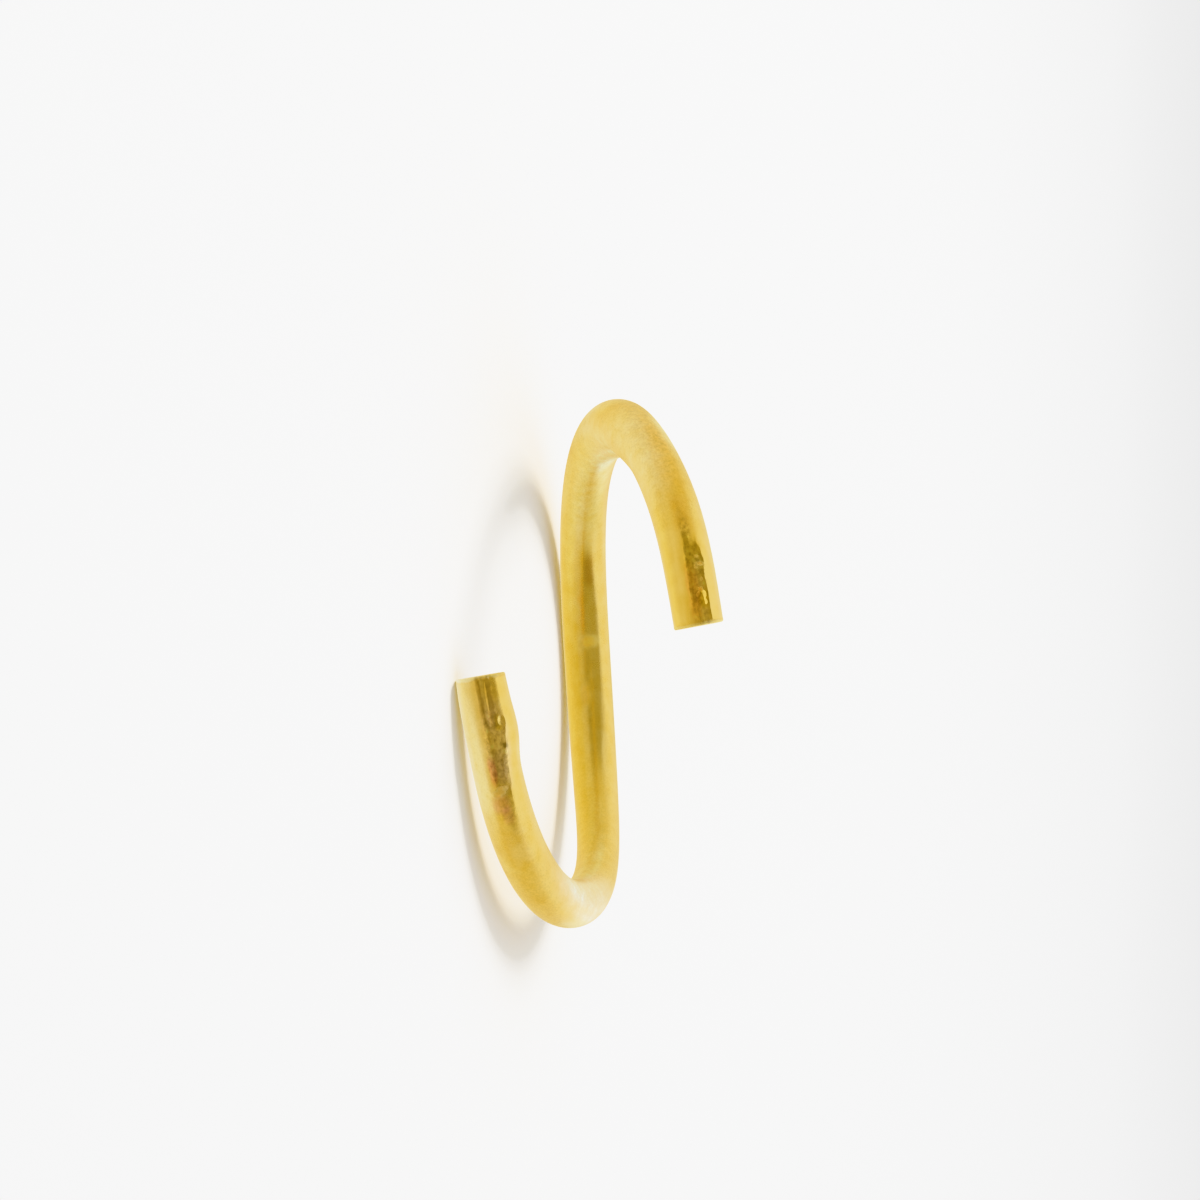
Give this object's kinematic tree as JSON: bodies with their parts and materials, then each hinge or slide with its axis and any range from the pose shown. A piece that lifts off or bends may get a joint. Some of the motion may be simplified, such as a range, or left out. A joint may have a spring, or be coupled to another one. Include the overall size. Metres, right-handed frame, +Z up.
{
  "type": "helix ear hoop",
  "caption": "Plain open hoop of round gold wire for the rim of the ear, its two flat cut ends twisted apart sideways.",
  "frame": {"origin": "on the floor under the middle of the hoop's footprint", "axes": "+Z up from the floor the hoop lies on, +Y from the gap between the cut ends towards the middle of the back"},
  "size_m": [0.0112, 0.0112, 0.0053],
  "materials": {
    "gold": "yellow gold, polished near the cut ends and softly worn round the back"
  },
  "bodies": {
    "root": {"hoop_wire": "gold"}
  },
  "joints": []
}
